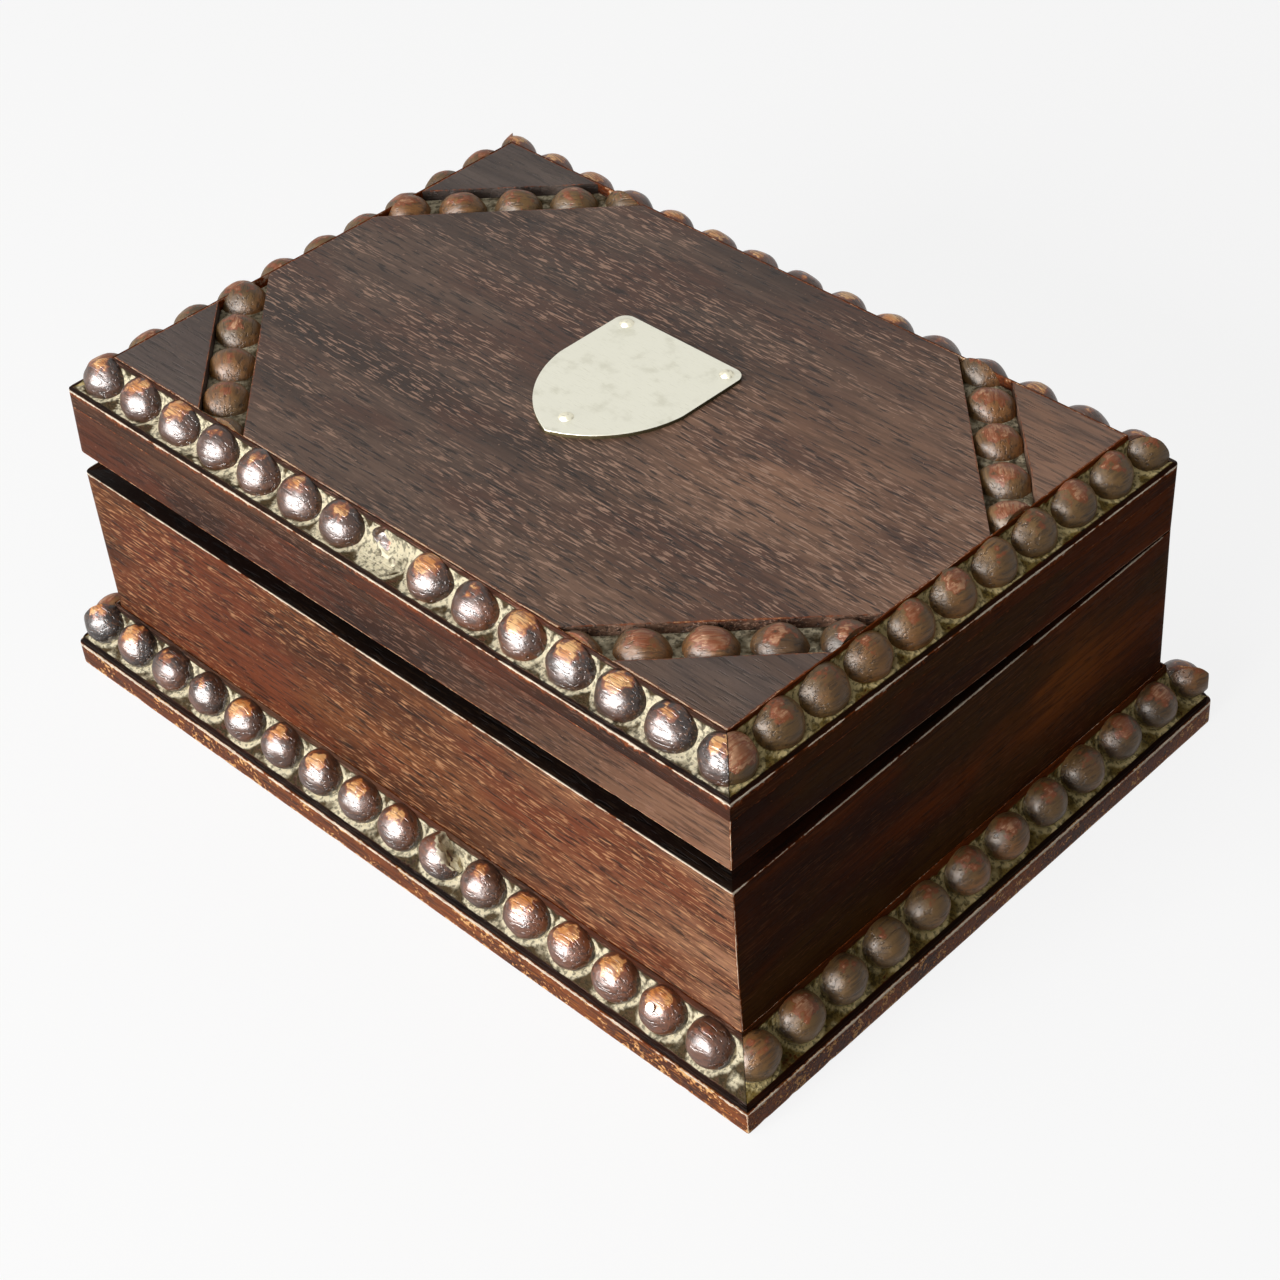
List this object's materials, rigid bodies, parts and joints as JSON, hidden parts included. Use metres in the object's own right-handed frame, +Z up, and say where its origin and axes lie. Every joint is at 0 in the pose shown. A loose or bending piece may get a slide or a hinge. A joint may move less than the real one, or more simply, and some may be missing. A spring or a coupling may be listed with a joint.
{
  "type": "carved box",
  "caption": "Carved oak box with a hinged lid, rows of beads round the lid and plinth and across the lid's corners, and a small metal shield plate.",
  "frame": {"origin": "centre of the plinth board's underside", "axes": "+Z up, +X along the long side to the right, -Y towards the front; the hinges are at +Y"},
  "size_m": [0.217, 0.155, 0.0881],
  "materials": {
    "oak_boards": "stained and waxed",
    "oak_top": "stained and waxed",
    "oak_beads": "carved and waxed",
    "oak_plinth": "stained and waxed",
    "nickel_silver": "worn satin",
    "brass_hinges": "dull",
    "iron_fasteners": "dull"
  },
  "bodies": {
    "case": {"plinth_board": "oak_plinth", "case_front": "oak_boards", "case_right": "oak_boards", "case_back": "oak_boards", "case_left": "oak_boards", "base_moulding_front": "oak_beads", "base_moulding_right": "oak_beads", "base_moulding_back": "oak_beads", "base_moulding_left": "oak_beads", "moulding_nail": "iron_fasteners", "bottom_screws": "iron_fasteners", "hinge_screws_case": "brass_hinges", "hinge_left_case_leaf": "brass_hinges", "hinge_left_pin": "brass_hinges", "hinge_right_case_leaf": "brass_hinges", "hinge_right_pin": "brass_hinges"},
    "lid": {"lid_top_board": "oak_top", "lid_rail_front": "oak_boards", "lid_rail_right": "oak_boards", "lid_rail_back": "oak_boards", "lid_rail_left": "oak_boards", "lid_moulding_front": "oak_beads", "lid_moulding_right": "oak_beads", "lid_moulding_back": "oak_beads", "lid_moulding_left": "oak_beads", "diagonal_strip_front_left": "oak_beads", "diagonal_strip_front_right": "oak_beads", "diagonal_strip_back_left": "oak_beads", "diagonal_strip_back_right": "oak_beads", "shield_plate": "nickel_silver", "shield_pins": "nickel_silver", "hinge_screws_lid": "brass_hinges", "hinge_left_lid_leaf": "brass_hinges", "hinge_right_lid_leaf": "brass_hinges"}
  },
  "joints": [
    {"name": "lid_hinge", "type": "hinge", "parent": "case", "child": "lid", "pos_m": [0, 0.0704, 0.05665], "axis": [-1, 0, 0], "range_deg": [0, 105]}
  ]
}
